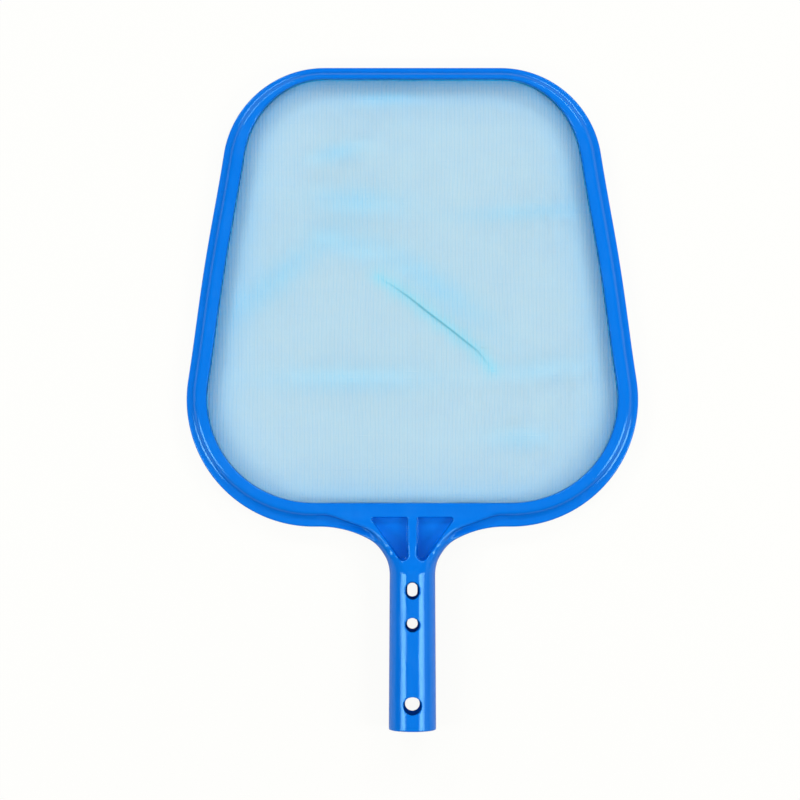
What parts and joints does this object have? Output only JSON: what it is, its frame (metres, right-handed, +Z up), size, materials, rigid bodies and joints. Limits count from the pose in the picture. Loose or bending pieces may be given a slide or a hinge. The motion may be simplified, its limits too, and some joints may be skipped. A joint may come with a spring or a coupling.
{
  "type": "leaf skimmer net",
  "caption": "Flat pool leaf skimmer head: a moulded plastic hoop with a ribbed yoke and a tubular pole socket, holding a fine net in its underside channel.",
  "frame": {"origin": "middle of the base, on the surface that the head lies on", "axes": "+Y from the pole socket's mouth to the top bar, +Z up on the side that the net is seen from, X across"},
  "size_m": [0.302, 0.442, 0.0316],
  "materials": {
    "frame_plastic": "glossy moulded blue polypropylene",
    "ring_plastic": "satin moulded blue polypropylene",
    "cord_fibre": "braided polyester cord",
    "net_mesh": "fine knitted polyester mesh, pale blue"
  },
  "bodies": {
    "root": {"hoop": "frame_plastic", "yoke": "frame_plastic", "pole_socket": "frame_plastic", "retaining_ring": "ring_plastic", "edge_cord": "cord_fibre", "net": "net_mesh"}
  },
  "joints": []
}
